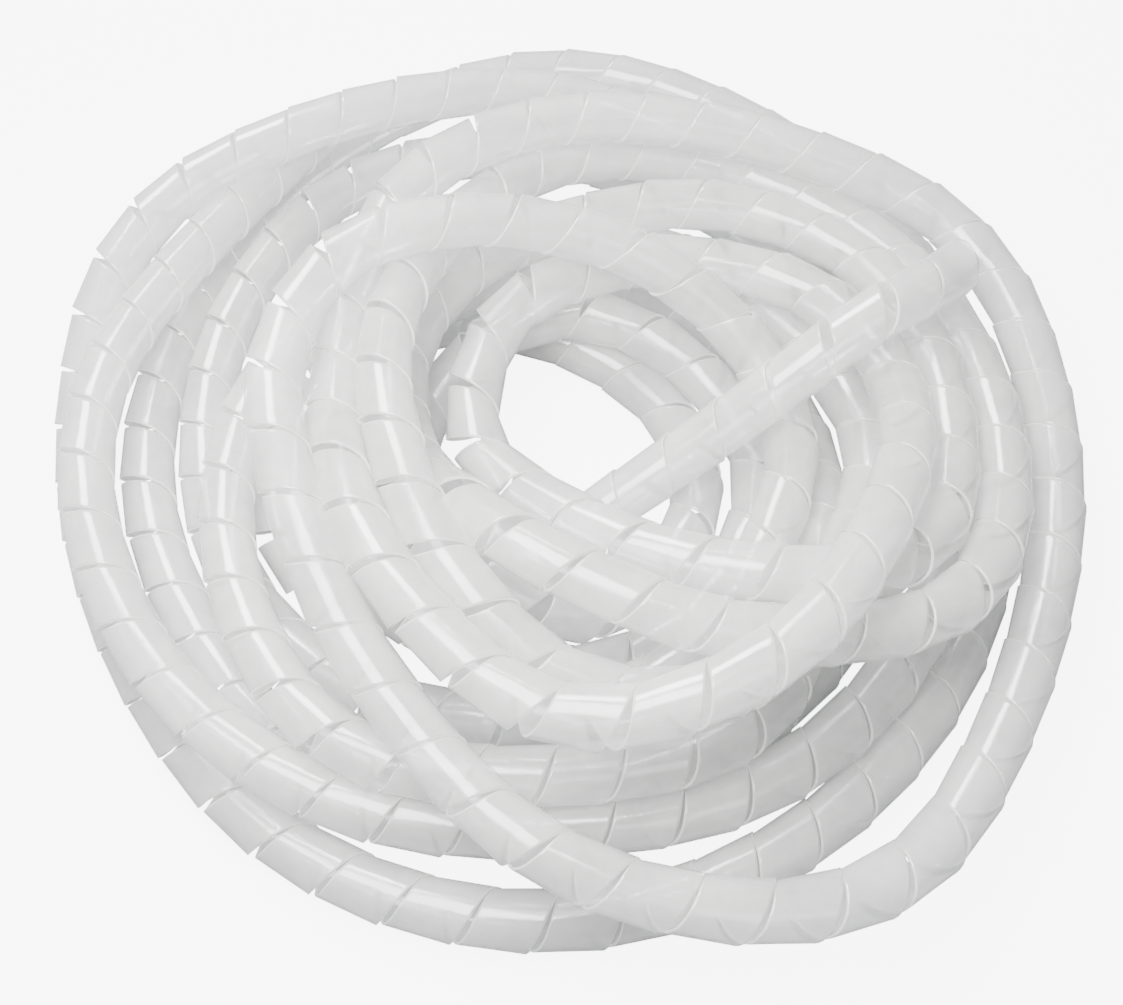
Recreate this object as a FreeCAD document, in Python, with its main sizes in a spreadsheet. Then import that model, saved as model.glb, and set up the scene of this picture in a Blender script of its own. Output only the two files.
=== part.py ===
import FreeCAD, Part

import math
import os

# Spiral-slit tree guard tube, lying as a loose hand-wound heap.
#
# The guard is one long, soft, natural polyethylene tube with a left-handed slit
# along its whole length.  It lies on the ground in loose turns that differ in size,
# and its inner end runs out across the top of the heap.  The tube is one piece of
# plastic.  Each turn is a node of its own, and the turns meet face to face.
#
# Frame: millimetres, +Z up, origin on the ground under the middle of the heap.

doc = FreeCAD.newDocument("tree_guard_tube")
Vector = FreeCAD.Vector

# ---------------------------------------------------------------- driving dimensions

sheet = doc.addObject("Spreadsheet::Sheet", "dimensions")

DIMENSIONS = [
    ("tube_outer", 24.0),      # outside diameter of the tube
    ("tube_wall", 1.0),        # thickness of the plastic
    ("ring_points", 12),       # corners in one turn of the route
    ("arc_share", 0.45),       # share of the shorter run that each bend takes
]

for row, (alias, value) in enumerate(DIMENSIONS, start=1):
    sheet.set("A%d" % row, alias)
    sheet.set("B%d" % row, str(value))
    sheet.setAlias("B%d" % row, alias)
doc.recompute()

tube_outer = float(sheet.tube_outer)
ring_points = int(sheet.ring_points)
arc_share = float(sheet.arc_share)

# ---------------------------------------------------------------- the heap's route
#
# Lengths in this section are in tube diameters.  One row is one turn, wound
# counter-clockwise as seen from above.  "reach" is the distance of the tube's centre
# line from the heap's middle in twelve directions, like the hours of a clock face:
# right, then on round through back, left and front.  "layer" says how high the turn
# lies at its right, back, left and front, and so which turn passes over which.
# 0.5 is on the ground.

TURNS = [
    {"reach": [7.0, 7.0, 7.5, 8.0, 9.1, 8.3, 8.4, 8.0, 7.5, 6.9, 7.0, 7.0], "layer": [0.5, 0.9, 1.3, 0.9]},
    {"reach": [6.9, 7.2, 7.8, 8.8, 8.4, 9.6, 8.7, 8.1, 8.3, 8.3, 7.9, 7.7], "layer": [0.5, 1.3, 0.5, 0.5]},
    {"reach": [7.8, 8.4, 9.4, 10.5, 9.4, 8.1, 7.6, 7.0, 7.0, 6.2, 5.9, 5.8], "layer": [0.5, 0.5, 0.7, 0.5]},
    {"reach": [5.9, 6.2, 6.9, 7.8, 8.3, 7.2, 6.5, 6.0, 5.4, 5.0, 4.6, 4.0], "layer": [0.5, 0.6, 0.8, 0.6]},
    {"reach": [4.1, 3.8, 3.3, 3.2, 3.4, 4.3, 4.7, 4.8, 5.8, 8.1, 9.6, 8.7], "layer": [1.3, 3.4, 2.4, 1.9]},
    {"reach": [8.75, 9.0, 7.1, 6.3, 5.3, 4.1, 3.7, 4.0, 4.8, 6.3, 6.2, 5.7], "layer": [0.6, 2.6, 1.6, 3.1]},
    {"reach": [5.9, 5.5, 4.2, 3.0, 2.4, None, 1.65, None, 1.55, None, 3.7, 6.6], "layer": [2.4, 1.4, 1.4, 2.2]},
    {"reach": [6.7, 6.8, 5.8, 4.4, 3.7, 3.2, 2.7, 2.6, 2.9, 3.6, 5.4, 7.6], "layer": [1.8, 1.2, 1.5, 2.4]},
    {"reach": [7.7, 7.6, 7.1, 6.3, 4.2, 3.2, 2.9, 3.0, 3.8, 5.2, 5.9, 5.3], "layer": [1.5, 1.3, 2.4, 1.9]},
    {"reach": [5.5, 5.0, 4.9, 4.9, 5.1, 5.4, 5.8, 6.2, 6.9, 6.3, 6.3, 5.0], "layer": [1.2, 0.8, 1.4, 1.2]},
    {"reach": [4.6, 4.4, 4.3, 3.9, 3.9, 4.2, 4.7, 4.6, 4.1, 4.1, 3.9, 3.6], "layer": [0.6, 0.6, 0.9, 0.5]},
    {"reach": [3.6, 3.1, 2.9, 2.9, 2.8, 2.7, 2.8, 3.0, 3.0, 3.2, 2.9, 2.6], "layer": [0.5, 0.8, 1.1, 1.1]},
    {"reach": [2.4, 2.3, 2.4, 2.9, 4.0, 4.9], "layer": [0.5, 0.5, 0.5, 0.5]},
]
FIRST_CORNER = 4               # the buried end starts at the back left of the first turn

# Corners that are lifted out of their turn's own layer: (turn, hour) and the layer.
LIFTED = {(1, 4): 1.8, (1, 5): 1.3}

# The free end: from the left of the last turn it runs under the heap, comes up through
# the hole and lies across the turns.  Corners with their place (x, y) and layer.
FREE_END = [
    (-5.15, 0.60, 0.5),
    (-5.20, -0.90, 0.5),
    (-4.60, -2.15, 0.5),
    (-3.35, -2.85, 0.5),
    (-1.95, -2.70, 0.5),
    (-0.60, -1.95, 0.5),
    (1.00, -0.85, 0.9),
    (2.50, -0.13, 1.7),
    (3.90, 0.50, 2.5),
    (5.20, 1.25, 3.1),
    (6.35, 2.10, 3.4),
    (7.30, 3.05, 3.3),
]

GROUND_HEIGHT = 0.5            # the centre line of a tube that lies on the ground
CORNER_OVERSHOOT = 1.035       # a corner stands this much further out than the curve
SAMPLES_PER_CORNER = 4
SAME_STRETCH = 4               # corners nearer than this along the tube never cross
ROUNDS = 400                   # rounds of settling
SETTLING_BAND = 1.4            # how far a corner may leave the layer it was given
PRESS_UP = 0.9
PRESS_DOWN = 0.5
STIFFNESS = 0.12
WEIGHT = 0.03


def turn_corners(turn_index):
    """Corners (x, y, layer) of one turn, from its reach and its four layers."""
    layers = [layer for turn in TURNS for layer in turn["layer"]]
    layers.append(layers[-1])
    corners = []
    for hour, reach in enumerate(TURNS[turn_index]["reach"]):
        if reach is None:
            continue
        angle = 2 * math.pi * hour / ring_points
        side, share = divmod(4 * hour / ring_points, 1)
        first = 4 * turn_index + int(side)
        layer = layers[first] + (layers[first + 1] - layers[first]) * share
        layer = LIFTED.get((turn_index, hour), layer)
        radius = reach * CORNER_OVERSHOOT
        corners.append((radius * math.cos(angle), radius * math.sin(angle), layer))
    return corners


def heap_stretches():
    """The route as a list of stretches: every turn, then the free end."""
    stretches = [turn_corners(index) for index in range(len(TURNS))]
    stretches[0] = stretches[0][FIRST_CORNER:]
    return stretches + [FREE_END]


def curve_samples(count):
    """(corner, weights of it and its two neighbours) along the smooth curve."""
    samples = []
    for corner in range(1, count - 1):
        for step in range(SAMPLES_PER_CORNER):
            t = step / SAMPLES_PER_CORNER
            samples.append((corner, ((1 - t) ** 2 / 2, 0.5 + t * (1 - t), t * t / 2)))
    return samples


def on_curve(values, sample):
    corner, weights = sample
    return sum(weight * values[corner - 1 + k] for k, weight in enumerate(weights))


def crossings(corners, samples):
    """(lower sample, upper sample, rise) wherever two stretches lie over each other."""
    xs = [on_curve([c[0] for c in corners], s) for s in samples]
    ys = [on_curve([c[1] for c in corners], s) for s in samples]
    layers = [on_curve([c[2] for c in corners], s) for s in samples]
    found = []
    for a, (corner_a, _) in enumerate(samples):
        for b in range(a + 1, len(samples)):
            if samples[b][0] - corner_a < SAME_STRETCH:
                continue
            apart = (xs[a] - xs[b]) ** 2 + (ys[a] - ys[b]) ** 2
            if apart < 0.96:
                lower, upper = (a, b) if layers[a] <= layers[b] else (b, a)
                found.append((lower, upper, math.sqrt(1 - apart)))
    return found


def settled_heights(corners):
    """Heights of the corners once every turn rests on the turns below it."""
    samples = curve_samples(len(corners))
    contacts = crossings(corners, samples)
    layers = [corner[2] for corner in corners]
    heights = [max(GROUND_HEIGHT, layer) for layer in layers]
    last = len(corners) - 1
    for _ in range(ROUNDS):
        along = [on_curve(heights, sample) for sample in samples]
        lift = [0.0] * len(corners)
        press = [0.0] * len(corners)
        for lower, upper, rise in contacts:
            overlap = along[lower] + rise - along[upper]
            if overlap <= 0:
                continue
            for sample, push in ((upper, lift), (lower, press)):
                corner, weights = samples[sample]
                for k, weight in enumerate(weights):
                    push[corner - 1 + k] = max(push[corner - 1 + k], overlap * weight)
        moved = []
        for i, height in enumerate(heights):
            between = (heights[max(i - 1, 0)] + heights[min(i + 1, last)]) / 2
            height += PRESS_UP * lift[i] - PRESS_DOWN * press[i]
            height += STIFFNESS * (between - heights[i]) - WEIGHT
            lowest = max(GROUND_HEIGHT, layers[i] - SETTLING_BAND)
            highest = max(GROUND_HEIGHT, layers[i] + SETTLING_BAND)
            moved.append(min(max(height, lowest), highest))
        heights = moved
    return heights


# ---------------------------------------------------------------- paths of the nodes

HEAP_MIDDLE = (-0.032, 0.889)       # middle of the heap's box, in tube diameters


def bend(before, corner, after):
    """Start, middle and end of the tangent arc that rounds one corner, and its radius."""
    incoming = corner - before
    outgoing = after - corner
    tangent = arc_share * min(incoming.Length, outgoing.Length)
    incoming.normalize()
    outgoing.normalize()
    half_turn = math.acos(max(-1.0, min(1.0, incoming.dot(outgoing)))) / 2
    radius = tangent / math.tan(half_turn)
    inward = outgoing - incoming
    inward.normalize()
    middle = corner + inward * (radius / math.cos(half_turn) - radius)
    return corner - incoming * tangent, middle, corner + outgoing * tangent, radius


def stretch_wire(points, first, last):
    """Straight runs and tangent arcs round the corners first to last, cut mid-run."""
    if first == 0:
        cursor = points[0]
        first = 1
    else:
        cursor = (points[first - 1] + points[first]) / 2
    ends_route = last == len(points) - 1
    finish = points[last] if ends_route else (points[last] + points[last + 1]) / 2
    edges = []
    radii = []
    for i in range(first, last if ends_route else last + 1):
        start, middle, end, radius = bend(points[i - 1], points[i], points[i + 1])
        edges.append(Part.LineSegment(cursor, start).toShape())
        edges.append(Part.Arc(start, middle, end).toShape())
        radii.append(radius)
        cursor = end
    edges.append(Part.LineSegment(cursor, finish).toShape())
    return Part.Wire(edges), radii


# ---------------------------------------------------------------- one node of tube

def section_ring(name, path, radius_expression):
    """A circle square to the path at its start, with its radius bound to the sheet."""
    circle = doc.addObject("Part::Circle", name)
    circle.setExpression("Radius", radius_expression)
    first_edge = path.Shape.Edges[0]
    start = first_edge.valueAt(first_edge.FirstParameter)
    heading = first_edge.tangentAt(first_edge.FirstParameter)
    circle.Placement = FreeCAD.Placement(start, FreeCAD.Rotation(Vector(0, 0, 1), heading))
    return circle


def swept(name, circle, path):
    sweep = doc.addObject("Part::Sweep", name)
    sweep.Sections = [circle]
    sweep.Spine = (path, ["Edge%d" % (i + 1) for i in range(len(path.Shape.Edges))])
    sweep.Solid = True
    sweep.Frenet = False
    return sweep


def tube_node(name, wire):
    """A hollow tube along the wire: its outside swept, less its bore."""
    path = doc.addObject("Part::Feature", name + "_path")
    path.Shape = wire
    outside = section_ring(name + "_outside", path, "dimensions.tube_outer / 2")
    inside = section_ring(name + "_inside", path, "dimensions.tube_outer / 2 - dimensions.tube_wall")
    node = doc.addObject("Part::Cut", name)
    node.Base = swept(name + "_skin", outside, path)
    node.Tool = swept(name + "_bore", inside, path)
    node.Label = name
    return node


# ---------------------------------------------------------------- the heap

stretches = heap_stretches()
corners = [corner for stretch in stretches for corner in stretch]
heights = settled_heights(corners)
points = [
    Vector(x - HEAP_MIDDLE[0], y - HEAP_MIDDLE[1], height) * tube_outer
    for (x, y, _), height in zip(corners, heights)
]

names = ["turn_%02d" % (index + 1) for index in range(len(TURNS))] + ["free_end"]
nodes = []
tightest = []
total_length = 0.0
first = 0
for name, stretch in zip(names, stretches):
    last = first + len(stretch) - 1
    wire, radii = stretch_wire(points, first, last)
    nodes.append(tube_node(name, wire))
    tightest.append(min(radii) / tube_outer)
    total_length += wire.Length
    first = last + 1

doc.recompute()

# ---------------------------------------------------------------- checks and files

for item in doc.Objects:
    if "Invalid" in item.State or "Error" in item.State:
        raise RuntimeError("%s failed: %s" % (item.Name, item.State))

tube_wall = float(sheet.tube_wall)
section = math.pi * tube_wall * (tube_outer - tube_wall)
volume = sum(node.Shape.Volume for node in nodes)
if abs(volume / (section * total_length) - 1) > 0.001:
    raise RuntimeError("the tube's volume is not its section times its length")

os.makedirs("parts", exist_ok=True)
box = FreeCAD.BoundBox()
for node, radius in zip(nodes, tightest):
    if node.Shape.isNull() or not node.Shape.isValid():
        raise RuntimeError("%s has no valid shape" % node.Label)
    node.Shape.exportStep("parts/%s.step" % node.Label)
    box.add(node.Shape.BoundBox)
    print("%s: tightest bend %.1f diameters" % (node.Label, radius))

print("tube length %.0f mm, volume %.0f mm3" % (total_length, volume))
print("box X %.1f %.1f  Y %.1f %.1f  Z %.1f %.1f" % (box.XMin, box.XMax, box.YMin, box.YMax, box.ZMin, box.ZMax))
mouth = points[-1]
axis = (points[-1] - points[-2]).normalize()
straight = (points[-1] - points[-2]).Length - arc_share * min(
    (points[-1] - points[-2]).Length, (points[-2] - points[-3]).Length)
print("mouth at %.3f %.3f %.3f axis %.5f %.5f %.5f straight %.1f" % (
    mouth.x, mouth.y, mouth.z, axis.x, axis.y, axis.z, straight))
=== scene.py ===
import math

import bpy
import numpy as np
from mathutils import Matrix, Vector


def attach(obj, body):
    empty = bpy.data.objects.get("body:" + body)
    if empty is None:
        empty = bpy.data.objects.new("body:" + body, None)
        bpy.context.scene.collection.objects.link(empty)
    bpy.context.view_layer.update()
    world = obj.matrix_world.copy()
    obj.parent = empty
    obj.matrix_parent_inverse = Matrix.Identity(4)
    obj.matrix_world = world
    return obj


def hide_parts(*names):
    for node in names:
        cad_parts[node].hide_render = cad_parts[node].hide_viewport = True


# The tree guard tube: one long natural polyethylene tube, slit along its length by a
# left-handed helix, lying in a loose heap of turns on a pale floor.

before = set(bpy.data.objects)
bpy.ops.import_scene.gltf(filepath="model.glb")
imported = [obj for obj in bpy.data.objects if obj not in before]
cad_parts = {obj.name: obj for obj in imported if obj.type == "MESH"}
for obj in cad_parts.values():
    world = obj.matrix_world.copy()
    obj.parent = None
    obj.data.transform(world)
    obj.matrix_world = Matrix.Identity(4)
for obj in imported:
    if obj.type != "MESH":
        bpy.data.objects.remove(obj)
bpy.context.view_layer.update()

# ---------------------------------------------------------------- camera and stage

TUBE_OUTER = 0.024
TUBE_WALL = 0.001

CAMERA_ELEVATION = math.radians(59)
CAMERA_DISTANCE = 26 * TUBE_OUTER
CAMERA_TARGET = Vector((0.032, -2.189, 1.5)) * TUBE_OUTER
CAMERA_LENS = 48.1

camera = bpy.data.objects.new("camera", bpy.data.cameras.new("camera"))
camera.data.lens = CAMERA_LENS
camera.data.sensor_width = 36
camera.data.clip_start = 0.01
back = Vector((0, -math.cos(CAMERA_ELEVATION), math.sin(CAMERA_ELEVATION)))
camera.location = CAMERA_TARGET + back * CAMERA_DISTANCE
camera.rotation_euler = back.to_track_quat("Z", "Y").to_euler()
bpy.context.scene.collection.objects.link(camera)
bpy.context.scene.camera = camera

# ---------------------------------------------------------------- the heap's route
#
# The same route as the model's, in tube diameters.  Each entry is a turn: "reach" is its
# distance from the heap's middle in twelve directions, from the right round by the back,
# and "layer" its height at the right, back, left and front.

RING_POINTS = 12
TURNS = [
    {"reach": [7.0, 7.0, 7.5, 8.0, 9.1, 8.3, 8.4, 8.0, 7.5, 6.9, 7.0, 7.0],
     "layer": [0.5, 0.9, 1.3, 0.9]},
    {"reach": [6.9, 7.2, 7.8, 8.8, 8.4, 9.6, 8.7, 8.1, 8.3, 8.3, 7.9, 7.7],
     "layer": [0.5, 1.3, 0.5, 0.5]},
    {"reach": [7.8, 8.4, 9.4, 10.5, 9.4, 8.1, 7.6, 7.0, 7.0, 6.2, 5.9, 5.8],
     "layer": [0.5, 0.5, 0.7, 0.5]},
    {"reach": [5.9, 6.2, 6.9, 7.8, 8.3, 7.2, 6.5, 6.0, 5.4, 5.0, 4.6, 4.0],
     "layer": [0.5, 0.6, 0.8, 0.6]},
    {"reach": [4.1, 3.8, 3.3, 3.2, 3.4, 4.3, 4.7, 4.8, 5.8, 8.1, 9.6, 8.7],
     "layer": [1.3, 3.4, 2.4, 1.9]},
    {"reach": [8.75, 9.0, 7.1, 6.3, 5.3, 4.1, 3.7, 4.0, 4.8, 6.3, 6.2, 5.7],
     "layer": [0.6, 2.6, 1.6, 3.1]},
    {"reach": [5.9, 5.5, 4.2, 3.0, 2.4, None, 1.65, None, 1.55, None, 3.7, 6.6],
     "layer": [2.4, 1.4, 1.4, 2.2]},
    {"reach": [6.7, 6.8, 5.8, 4.4, 3.7, 3.2, 2.7, 2.6, 2.9, 3.6, 5.4, 7.6],
     "layer": [1.8, 1.2, 1.5, 2.4]},
    {"reach": [7.7, 7.6, 7.1, 6.3, 4.2, 3.2, 2.9, 3.0, 3.8, 5.2, 5.9, 5.3],
     "layer": [1.5, 1.3, 2.4, 1.9]},
    {"reach": [5.5, 5.0, 4.9, 4.9, 5.1, 5.4, 5.8, 6.2, 6.9, 6.3, 6.3, 5.0],
     "layer": [1.2, 0.8, 1.4, 1.2]},
    {"reach": [4.6, 4.4, 4.3, 3.9, 3.9, 4.2, 4.7, 4.6, 4.1, 4.1, 3.9, 3.6],
     "layer": [0.6, 0.6, 0.9, 0.5]},
    {"reach": [3.6, 3.1, 2.9, 2.9, 2.8, 2.7, 2.8, 3.0, 3.0, 3.2, 2.9, 2.6],
     "layer": [0.5, 0.8, 1.1, 1.1]},
    {"reach": [2.4, 2.3, 2.4, 2.9, 4.0, 4.9],
     "layer": [0.5, 0.5, 0.5, 0.5]},
]
FIRST_CORNER = 4               # the buried end starts at the back left of the first turn

# Corners that are lifted out of their turn's own layer: (turn, hour) and the layer.
LIFTED = {(1, 4): 1.8, (1, 5): 1.3}

# The free end: from the left of the last turn it runs under the heap, comes up through
# the hole and lies across the turns.  Corners with their place (x, y) and layer.
FREE_END = [
    (-5.15, 0.60, 0.5),
    (-5.20, -0.90, 0.5),
    (-4.60, -2.15, 0.5),
    (-3.35, -2.85, 0.5),
    (-1.95, -2.70, 0.5),
    (-0.60, -1.95, 0.5),
    (1.00, -0.85, 0.9),
    (2.50, -0.13, 1.7),
    (3.90, 0.50, 2.5),
    (5.20, 1.25, 3.1),
    (6.35, 2.10, 3.4),
    (7.30, 3.05, 3.3),
]

GROUND_HEIGHT = 0.5            # the centre line of a tube that lies on the ground
CORNER_OVERSHOOT = 1.035       # a corner stands this much further out than the curve
SAMPLES_PER_CORNER = 4
SAME_STRETCH = 4               # corners nearer than this along the tube never cross
TOUCHING = 0.96                # squared distance in plan under which two stretches meet
ROUNDS = 400                   # rounds of settling
SETTLING_BAND = 1.4            # how far a corner may leave the layer it was given
PRESS_UP = 0.9                 # share of an overlap that lifts the upper stretch in a round
PRESS_DOWN = 0.5               # share of it that pushes the lower stretch down
STIFFNESS = 0.12               # how much a corner follows its two neighbours in a round
WEIGHT = 0.03                  # how far a corner sinks in a round
HEAP_MIDDLE = (-0.032, 0.889)  # middle of the heap's box


def turn_corners(turn_index):
    """Corners (x, y, layer) of one turn, from its reach and its four layers."""
    layers = [layer for turn in TURNS for layer in turn["layer"]]
    layers.append(layers[-1])
    corners = []
    for hour, reach in enumerate(TURNS[turn_index]["reach"]):
        if reach is None:
            continue
        angle = 2 * math.pi * hour / RING_POINTS
        side, share = divmod(4 * hour / RING_POINTS, 1)
        first = 4 * turn_index + int(side)
        layer = layers[first] + (layers[first + 1] - layers[first]) * share
        layer = LIFTED.get((turn_index, hour), layer)
        radius = reach * CORNER_OVERSHOOT
        corners.append((radius * math.cos(angle), radius * math.sin(angle), layer))
    return corners


def heap_stretches():
    """The route as a list of stretches: every turn, then the free end."""
    stretches = [turn_corners(index) for index in range(len(TURNS))]
    stretches[0] = stretches[0][FIRST_CORNER:]
    return stretches + [FREE_END]


def curve_samples(count):
    """(corner, weights of it and its two neighbours) along the smooth curve."""
    samples = []
    for corner in range(1, count - 1):
        for step in range(SAMPLES_PER_CORNER):
            t = step / SAMPLES_PER_CORNER
            samples.append((corner, ((1 - t) ** 2 / 2, 0.5 + t * (1 - t), t * t / 2)))
    return samples


def on_curve(values, sample):
    """Value at a sample of the smooth curve, from the values at the corners."""
    corner, weights = sample
    return sum(weight * values[corner - 1 + k] for k, weight in enumerate(weights))


def crossings(corners, samples):
    """(lower sample, upper sample, rise) wherever two stretches lie over each other."""
    xs = [on_curve([c[0] for c in corners], s) for s in samples]
    ys = [on_curve([c[1] for c in corners], s) for s in samples]
    layers = [on_curve([c[2] for c in corners], s) for s in samples]
    found = []
    for a, (corner_a, _) in enumerate(samples):
        for b in range(a + 1, len(samples)):
            if samples[b][0] - corner_a < SAME_STRETCH:
                continue
            apart = (xs[a] - xs[b]) ** 2 + (ys[a] - ys[b]) ** 2
            if apart < TOUCHING:
                lower, upper = (a, b) if layers[a] <= layers[b] else (b, a)
                found.append((lower, upper, math.sqrt(1 - apart)))
    return found


def settled_heights(corners):
    """Heights of the corners once every turn rests on the turns below it."""
    samples = curve_samples(len(corners))
    contacts = crossings(corners, samples)
    layers = [corner[2] for corner in corners]
    heights = [max(GROUND_HEIGHT, layer) for layer in layers]
    last = len(corners) - 1
    for _ in range(ROUNDS):
        along = [on_curve(heights, sample) for sample in samples]
        lift = [0.0] * len(corners)
        press = [0.0] * len(corners)
        for lower, upper, rise in contacts:
            overlap = along[lower] + rise - along[upper]
            if overlap <= 0:
                continue
            for sample, push in ((upper, lift), (lower, press)):
                corner, weights = samples[sample]
                for k, weight in enumerate(weights):
                    push[corner - 1 + k] = max(push[corner - 1 + k], overlap * weight)
        moved = []
        for i, height in enumerate(heights):
            between = (heights[max(i - 1, 0)] + heights[min(i + 1, last)]) / 2
            height += PRESS_UP * lift[i] - PRESS_DOWN * press[i]
            height += STIFFNESS * (between - heights[i]) - WEIGHT
            lowest = max(GROUND_HEIGHT, layers[i] - SETTLING_BAND)
            highest = max(GROUND_HEIGHT, layers[i] + SETTLING_BAND)
            moved.append(min(max(height, lowest), highest))
        heights = moved
    return heights


def smooth_line(route_points):
    """Points along the smooth line that has the route's corners as control points."""
    curve = bpy.data.curves.new("guard_line", "CURVE")
    curve.dimensions = "3D"
    spline = curve.splines.new("NURBS")
    spline.points.add(len(route_points) - 1)
    for point, corner in zip(spline.points, route_points):
        point.co = (*corner, 1.0)
    spline.order_u = 3
    spline.use_endpoint_u = True
    spline.resolution_u = 10
    line = bpy.data.objects.new("guard_line", curve)
    # Without faces of its own, the curve turns into a mesh of its points.
    mesh = bpy.data.meshes.new_from_object(line)
    points = np.array([vertex.co[:] for vertex in mesh.vertices])
    bpy.data.objects.remove(line)
    bpy.data.curves.remove(curve)
    bpy.data.meshes.remove(mesh)
    return points


def unit(vectors):
    return vectors / np.linalg.norm(vectors, axis=-1, keepdims=True)


def arc_lengths(points):
    return np.concatenate([[0.0], np.cumsum(np.linalg.norm(np.diff(points, axis=0), axis=1))])


def smoothed(values, width):
    """Running average over width samples, with the ends held."""
    padded = np.pad(values, width // 2, mode="edge")
    return np.convolve(padded, np.ones(width) / width, mode="valid")[: len(values)]


def untwisted_normals(points, tangents):
    """A normal at every point that turns with the line but never about it."""
    normal = np.cross(tangents[0], (0.0, 0.0, 1.0))
    normals = [normal / np.linalg.norm(normal)]
    for i in range(len(points) - 1):
        step = points[i + 1] - points[i]
        length = step @ step
        carried = normals[-1] - (2 / length) * (step @ normals[-1]) * step
        heading = tangents[i] - (2 / length) * (step @ tangents[i]) * step
        turn = tangents[i + 1] - heading
        size = turn @ turn
        if size > 1e-18:
            carried = carried - (2 / size) * (turn @ carried) * turn
        normals.append(carried / np.linalg.norm(carried))
    return np.array(normals)


def slow_noise(values, seed, octaves=((1.0, 1.0), (2.3, 0.5), (5.1, 0.3))):
    """A smooth wandering number between about -1 and 1 along the tube."""
    rng = np.random.default_rng(seed)
    total = np.zeros_like(values)
    for rate, share in octaves:
        phase, wobble = rng.uniform(0, 2 * math.pi, 2)
        total += share * np.sin(rate * values + phase + 1.7 * np.sin(0.37 * rate * values + wobble))
    return total / sum(share for _, share in octaves)


# ---------------------------------------------------------------- the guard

STRIP_WIDTH = 0.0258           # width of the plastic between two passes of the slit
SLIT_CLOSED = 0.0005           # width of the slit where the tube is straight
SLIT_UNEVENNESS = 0.9          # how much that width wanders along the tube
BEND_TUCK = 0.4                # how far a bend pulls the slit open along the tube's middle
EDGE_FLARE = 0.0004            # the leading edge stands out and the trailing edge tucks in
EDGE_SHARES = (0.0, 0.04, 0.96, 1.0)     # across the strip: its rims, which carry a painted edge glow, and its middle
SWELL = 0.00015                # how much the radius wanders along the tube
STEPS_PER_TURN = 28
RADIUS = TUBE_OUTER / 2 - 0.0005
LINE_STEP = 0.002              # distance between the points of the middle line
SHORTEST_WIDTH = 0.0005        # the strip's pointed ends stop where they are this narrow


def even_line(points):
    """The smooth line again, as evenly spaced and slightly evened-out points."""
    along = arc_lengths(points)
    even = np.linspace(0, along[-1], int(along[-1] / LINE_STEP))
    line = np.stack([np.interp(even, along, points[:, k]) for k in range(3)], axis=1)
    return np.stack([smoothed(line[:, k], 7) for k in range(3)], axis=1)


def slit_angles(tangents, spacing):
    """How far the helix has turned at every point: it turns more slowly in a bend."""
    curvature = np.linalg.norm(np.gradient(tangents, axis=0), axis=1) / np.gradient(spacing)
    curvature = smoothed(curvature, 13)
    slit = SLIT_CLOSED * (1 + SLIT_UNEVENNESS * slow_noise(spacing * 14, 3))
    turn_rate = 2 * math.pi * (1 - BEND_TUCK * curvature * RADIUS) / (STRIP_WIDTH + slit)
    steps = (turn_rate[1:] + turn_rate[:-1]) / 2 * np.diff(spacing)
    return np.concatenate([[0.0], np.cumsum(steps)])


def strip_rings(points):
    """Closed outlines across the helical strip, one after another along the helix."""
    line = even_line(points)
    tangents = unit(np.gradient(line, axis=0))
    normals = untwisted_normals(line, tangents)
    spacing = arc_lengths(line)
    angle_at = slit_angles(tangents, spacing)
    angles = np.arange(0, angle_at[-1], 2 * math.pi / STEPS_PER_TURN)
    place = np.interp(angles, angle_at, spacing)

    def at_place(values):
        return np.stack([np.interp(place, spacing, values[:, k]) for k in range(3)], axis=1)

    centre = at_place(line)
    tangent = unit(at_place(tangents))
    side = at_place(normals)
    side = unit(side - tangent * np.sum(side * tangent, axis=1, keepdims=True))
    across = np.cross(tangent, side)
    outward = np.cos(angles)[:, None] * side - np.sin(angles)[:, None] * across

    low = np.maximum(-STRIP_WIDTH / 2, -place)
    high = np.minimum(STRIP_WIDTH / 2, spacing[-1] - place)
    keep = high - low > SHORTEST_WIDTH
    centre, tangent, outward = centre[keep], tangent[keep], outward[keep]
    low, high, angles = low[keep], high[keep], angles[keep]

    swell = SWELL * slow_noise(angles / 2.1, 11)
    outer = [
        (low + share * (high - low), RADIUS + EDGE_FLARE * (2 * share - 1) ** 3)
        for share in EDGE_SHARES
    ]
    inner = [(offset, radius - TUBE_WALL) for offset, radius in reversed(outer)]
    return np.stack([
        centre + tangent * offset[:, None] + outward * (radius + swell)[:, None]
        for offset, radius in outer + inner
    ], axis=1)


def strip_mesh(points):
    """The helical strip that makes the tube, with its two cut edges and pointed ends."""
    rings = strip_rings(points)
    count, around = rings.shape[:2]
    first = np.arange(count - 1)[:, None] * around + np.arange(around)[None, :]
    following = np.arange(count - 1)[:, None] * around + (np.arange(around)[None, :] + 1) % around
    faces = np.stack([first, following, following + around, first + around], axis=2)
    faces = faces.reshape(-1, 4).tolist()
    faces.append(list(range(around)))
    faces.append([(count - 1) * around + k for k in reversed(range(around))])
    mesh = bpy.data.meshes.new("guard")
    mesh.from_pydata(rings.reshape(-1, 3).tolist(), [], faces)
    # The two faces of the wall are smooth, and the cut edges and ends between them are flat.
    smooth = ([True, True, True, False] * 2) * (count - 1) + [False, False]
    mesh.polygons.foreach_set("use_smooth", smooth)
    # Painted edge glow: the cut faces and a rim about a millimetre wide beside them are made fully milky.
    # This is partly the real cloudiness of the cut plastic, and partly a painted brightness that stands
    # in for light the wall carries out at its edges.
    painted_edge_glow = mesh.attributes.new("painted_edge_glow", "FLOAT", "POINT")
    painted_edge_glow.data.foreach_set("value", np.tile([1.0, 0, 0, 1, 1, 0, 0, 1], count))
    mesh.update()
    return mesh


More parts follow.
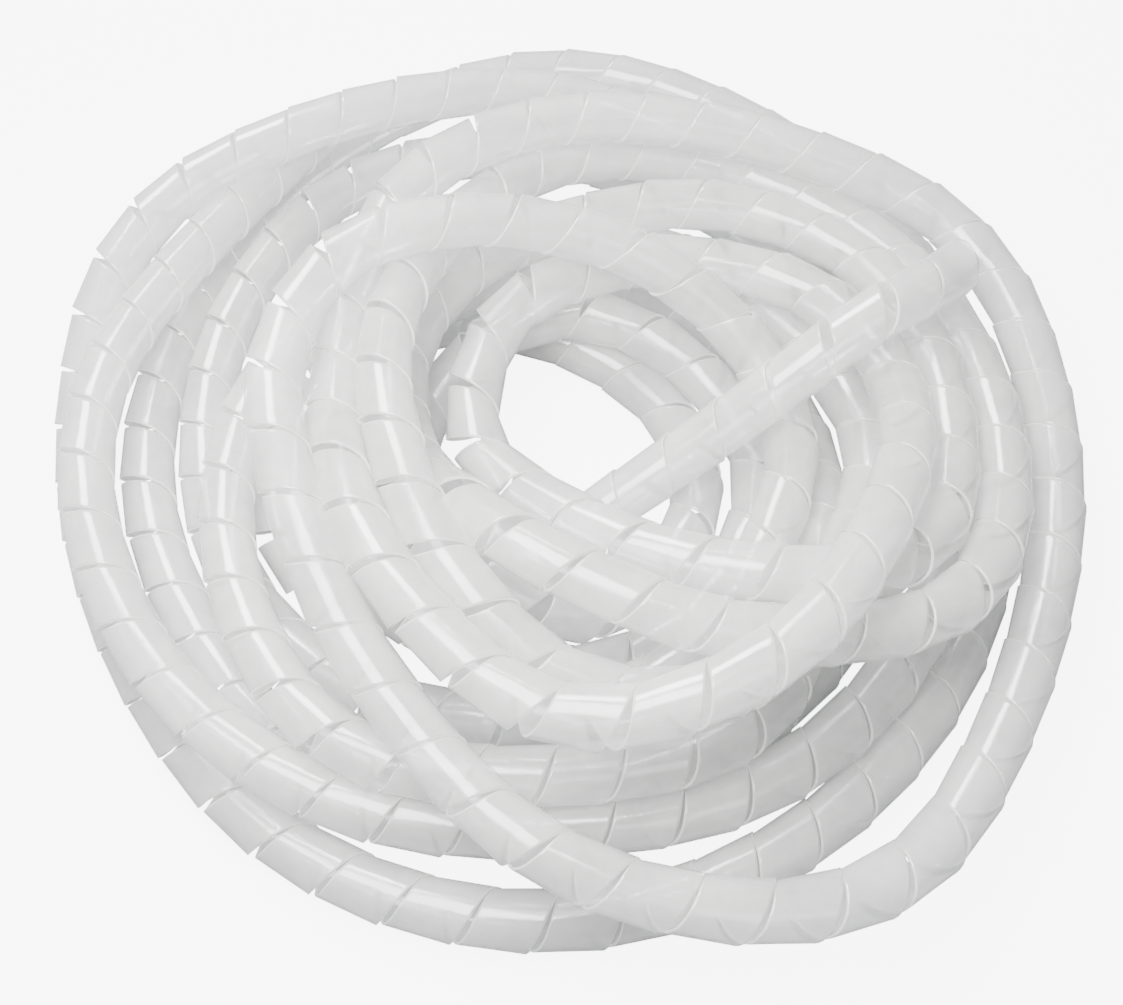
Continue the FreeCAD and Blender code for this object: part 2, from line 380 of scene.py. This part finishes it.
corners = [corner for stretch in heap_stretches() for corner in stretch]
heights = settled_heights(corners)
route = [
    ((x - HEAP_MIDDLE[0]) * TUBE_OUTER, (y - HEAP_MIDDLE[1]) * TUBE_OUTER, height * TUBE_OUTER)
    for (x, y, _), height in zip(corners, heights)
]
line_points = smooth_line(route)
guard = bpy.data.objects.new("guard", strip_mesh(line_points))
bpy.context.scene.collection.objects.link(guard)

# ---------------------------------------------------------------- plastic

MILK = (0.93, 0.933, 0.90, 1)
CLOUDINESS = 0.50              # share of the light that a wall scatters
HAZE_DEPTH = 0.10              # how far that share wanders from place to place


def guard_plastic():
    """Thin, milky, see-through polyethylene with a soft, slightly scratched gloss."""
    material = bpy.data.materials.new("guard_plastic")
    material.use_nodes = True
    nodes, links = material.node_tree.nodes, material.node_tree.links
    nodes.remove(nodes["Principled BSDF"])
    output = nodes["Material Output"]

    def node(kind, **values):
        made = nodes.new(kind)
        for name, value in values.items():
            made.inputs[name.replace("_", " ")].default_value = value
        return made

    def mixed(share, first, second):
        mix = nodes.new("ShaderNodeMixShader")
        if isinstance(share, float):
            mix.inputs["Fac"].default_value = share
        else:
            links.new(share, mix.inputs["Fac"])
        links.new(first, mix.inputs[1])
        links.new(second, mix.inputs[2])
        return mix.outputs["Shader"]

    def ranged(value, low, high, new_low, new_high):
        change = nodes.new("ShaderNodeMapRange")
        change.inputs["From Min"].default_value = low
        change.inputs["From Max"].default_value = high
        change.inputs["To Min"].default_value = new_low
        change.inputs["To Max"].default_value = new_high
        links.new(value, change.inputs["Value"])
        return change.outputs["Result"]

    def larger(first, second):
        pick = nodes.new("ShaderNodeMath")
        pick.operation = "MAXIMUM"
        links.new(first, pick.inputs[0])
        links.new(second, pick.inputs[1])
        return pick.outputs["Value"]

    place = nodes.new("ShaderNodeTexCoord")
    haze = node("ShaderNodeTexNoise", Scale=38.0, Detail=4.0, Roughness=0.6)
    scuffs = node("ShaderNodeTexNoise", Scale=260.0, Detail=5.0, Roughness=0.7)
    links.new(place.outputs["Object"], haze.inputs["Vector"])
    links.new(place.outputs["Object"], scuffs.inputs["Vector"])
    bump = node("ShaderNodeBump", Strength=0.25, Distance=0.0004)
    links.new(scuffs.outputs["Fac"], bump.inputs["Height"])

    painted_edge_glow = nodes.new("ShaderNodeAttribute")
    painted_edge_glow.attribute_name = "painted_edge_glow"
    hazy = ranged(haze.outputs["Fac"], 0.3, 0.7, CLOUDINESS - HAZE_DEPTH, CLOUDINESS + HAZE_DEPTH)
    # Painted edge glow: along the cut edges the wall scatters fully, so it shows brighter than the
    # plastic around it, like light carried out at the wall's edges.
    cloud = larger(hazy, painted_edge_glow.outputs["Fac"])

    clear = node("ShaderNodeBsdfTransparent", Color=(0.97, 0.975, 0.985, 1))
    surface = node("ShaderNodeBsdfDiffuse", Color=MILK)
    glow = node("ShaderNodeBsdfTranslucent", Color=MILK)
    gloss = node("ShaderNodeBsdfGlossy", Color=(1, 1, 1, 1), Roughness=0.1)
    fresnel = node("ShaderNodeFresnel", IOR=1.6)
    links.new(bump.outputs["Normal"], gloss.inputs["Normal"])
    milk = mixed(0.5, surface.outputs["BSDF"], glow.outputs["BSDF"])
    body = mixed(cloud, clear.outputs["BSDF"], milk)
    outside = mixed(fresnel.outputs["Fac"], body, gloss.outputs["BSDF"])
    # The gloss is on the side that faces the air, so that no light is caught inside a wall.
    face = nodes.new("ShaderNodeNewGeometry")
    links.new(mixed(face.outputs["Backfacing"], outside, clear.outputs["BSDF"]), output.inputs["Surface"])
    return material


guard.data.materials.append(guard_plastic())
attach(guard, "root")
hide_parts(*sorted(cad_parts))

# ---------------------------------------------------------------- floor and light

BURNT_OUT = 7.0                # brightness of floor and room where they are seen directly
ROOM_LIGHT = 0.30              # brightness of the room as it lights the plastic
FLOOR_REACH = 8.0


def floor_material():
    """A grey floor, burnt out to white only where it is seen directly, as in a cut-out."""
    material = bpy.data.materials.new("floor")
    material.use_nodes = True
    nodes, links = material.node_tree.nodes, material.node_tree.links
    shader = nodes["Principled BSDF"]
    shader.inputs["Base Color"].default_value = (0.28, 0.28, 0.29, 1)
    shader.inputs["Roughness"].default_value = 0.7
    shader.inputs["Emission Color"].default_value = (1, 1, 1, 1)

    def maths(operation, second):
        made = nodes.new("ShaderNodeMath")
        made.operation = operation
        if isinstance(second, float):
            made.inputs[1].default_value = second
        else:
            links.new(second, made.inputs[1])
        return made

    sight = nodes.new("ShaderNodeLightPath")
    unveiled = maths("LESS_THAN", 0.5)
    links.new(sight.outputs["Transparent Depth"], unveiled.inputs[0])
    direct = maths("MULTIPLY", unveiled.outputs["Value"])
    links.new(sight.outputs["Is Camera Ray"], direct.inputs[0])
    strength = maths("MULTIPLY", BURNT_OUT)
    links.new(direct.outputs["Value"], strength.inputs[0])
    links.new(strength.outputs["Value"], shader.inputs["Emission Strength"])
    return material


def white_room():
    """A dim white room lights the plastic evenly, and is burnt out where it is seen."""
    world = bpy.data.worlds.new("studio")
    world.use_nodes = True
    nodes, links = world.node_tree.nodes, world.node_tree.links
    nodes["Background"].inputs["Color"].default_value = (1, 1, 1, 1)
    sight = nodes.new("ShaderNodeLightPath")
    brightness = nodes.new("ShaderNodeMapRange")
    brightness.inputs["To Min"].default_value = ROOM_LIGHT
    brightness.inputs["To Max"].default_value = BURNT_OUT
    links.new(sight.outputs["Is Camera Ray"], brightness.inputs["Value"])
    links.new(brightness.outputs["Result"], nodes["Background"].inputs["Strength"])
    return world


def softbox(name, place, size, watts):
    """A square lamp that is aimed at the heap's middle and isn't seen itself."""
    lamp = bpy.data.lights.new(name, "AREA")
    lamp.size = size
    lamp.energy = watts
    light = bpy.data.objects.new(name, lamp)
    light.location = place
    light.rotation_euler = Vector(place).to_track_quat("Z", "Y").to_euler()
    light.visible_camera = False
    bpy.context.scene.collection.objects.link(light)


floor_mesh = bpy.data.meshes.new("floor")
floor_signs = ((-1, -1), (1, -1), (1, 1), (-1, 1))
floor_corners = [(x * FLOOR_REACH, y * FLOOR_REACH, 0) for x, y in floor_signs]
floor_mesh.from_pydata(floor_corners, [], [(0, 1, 2, 3)])
floor_mesh.materials.append(floor_material())
floor = bpy.data.objects.new("floor", floor_mesh)
bpy.context.scene.collection.objects.link(floor)

softbox("key", (-0.5, 1.1, 1.5), 0.7, 84)
softbox("fill", (0.6, -1.3, 1.5), 0.8, 10)
softbox("near", (-0.15, -0.12, 0.6), 0.35, 14)
bpy.context.scene.world = white_room()
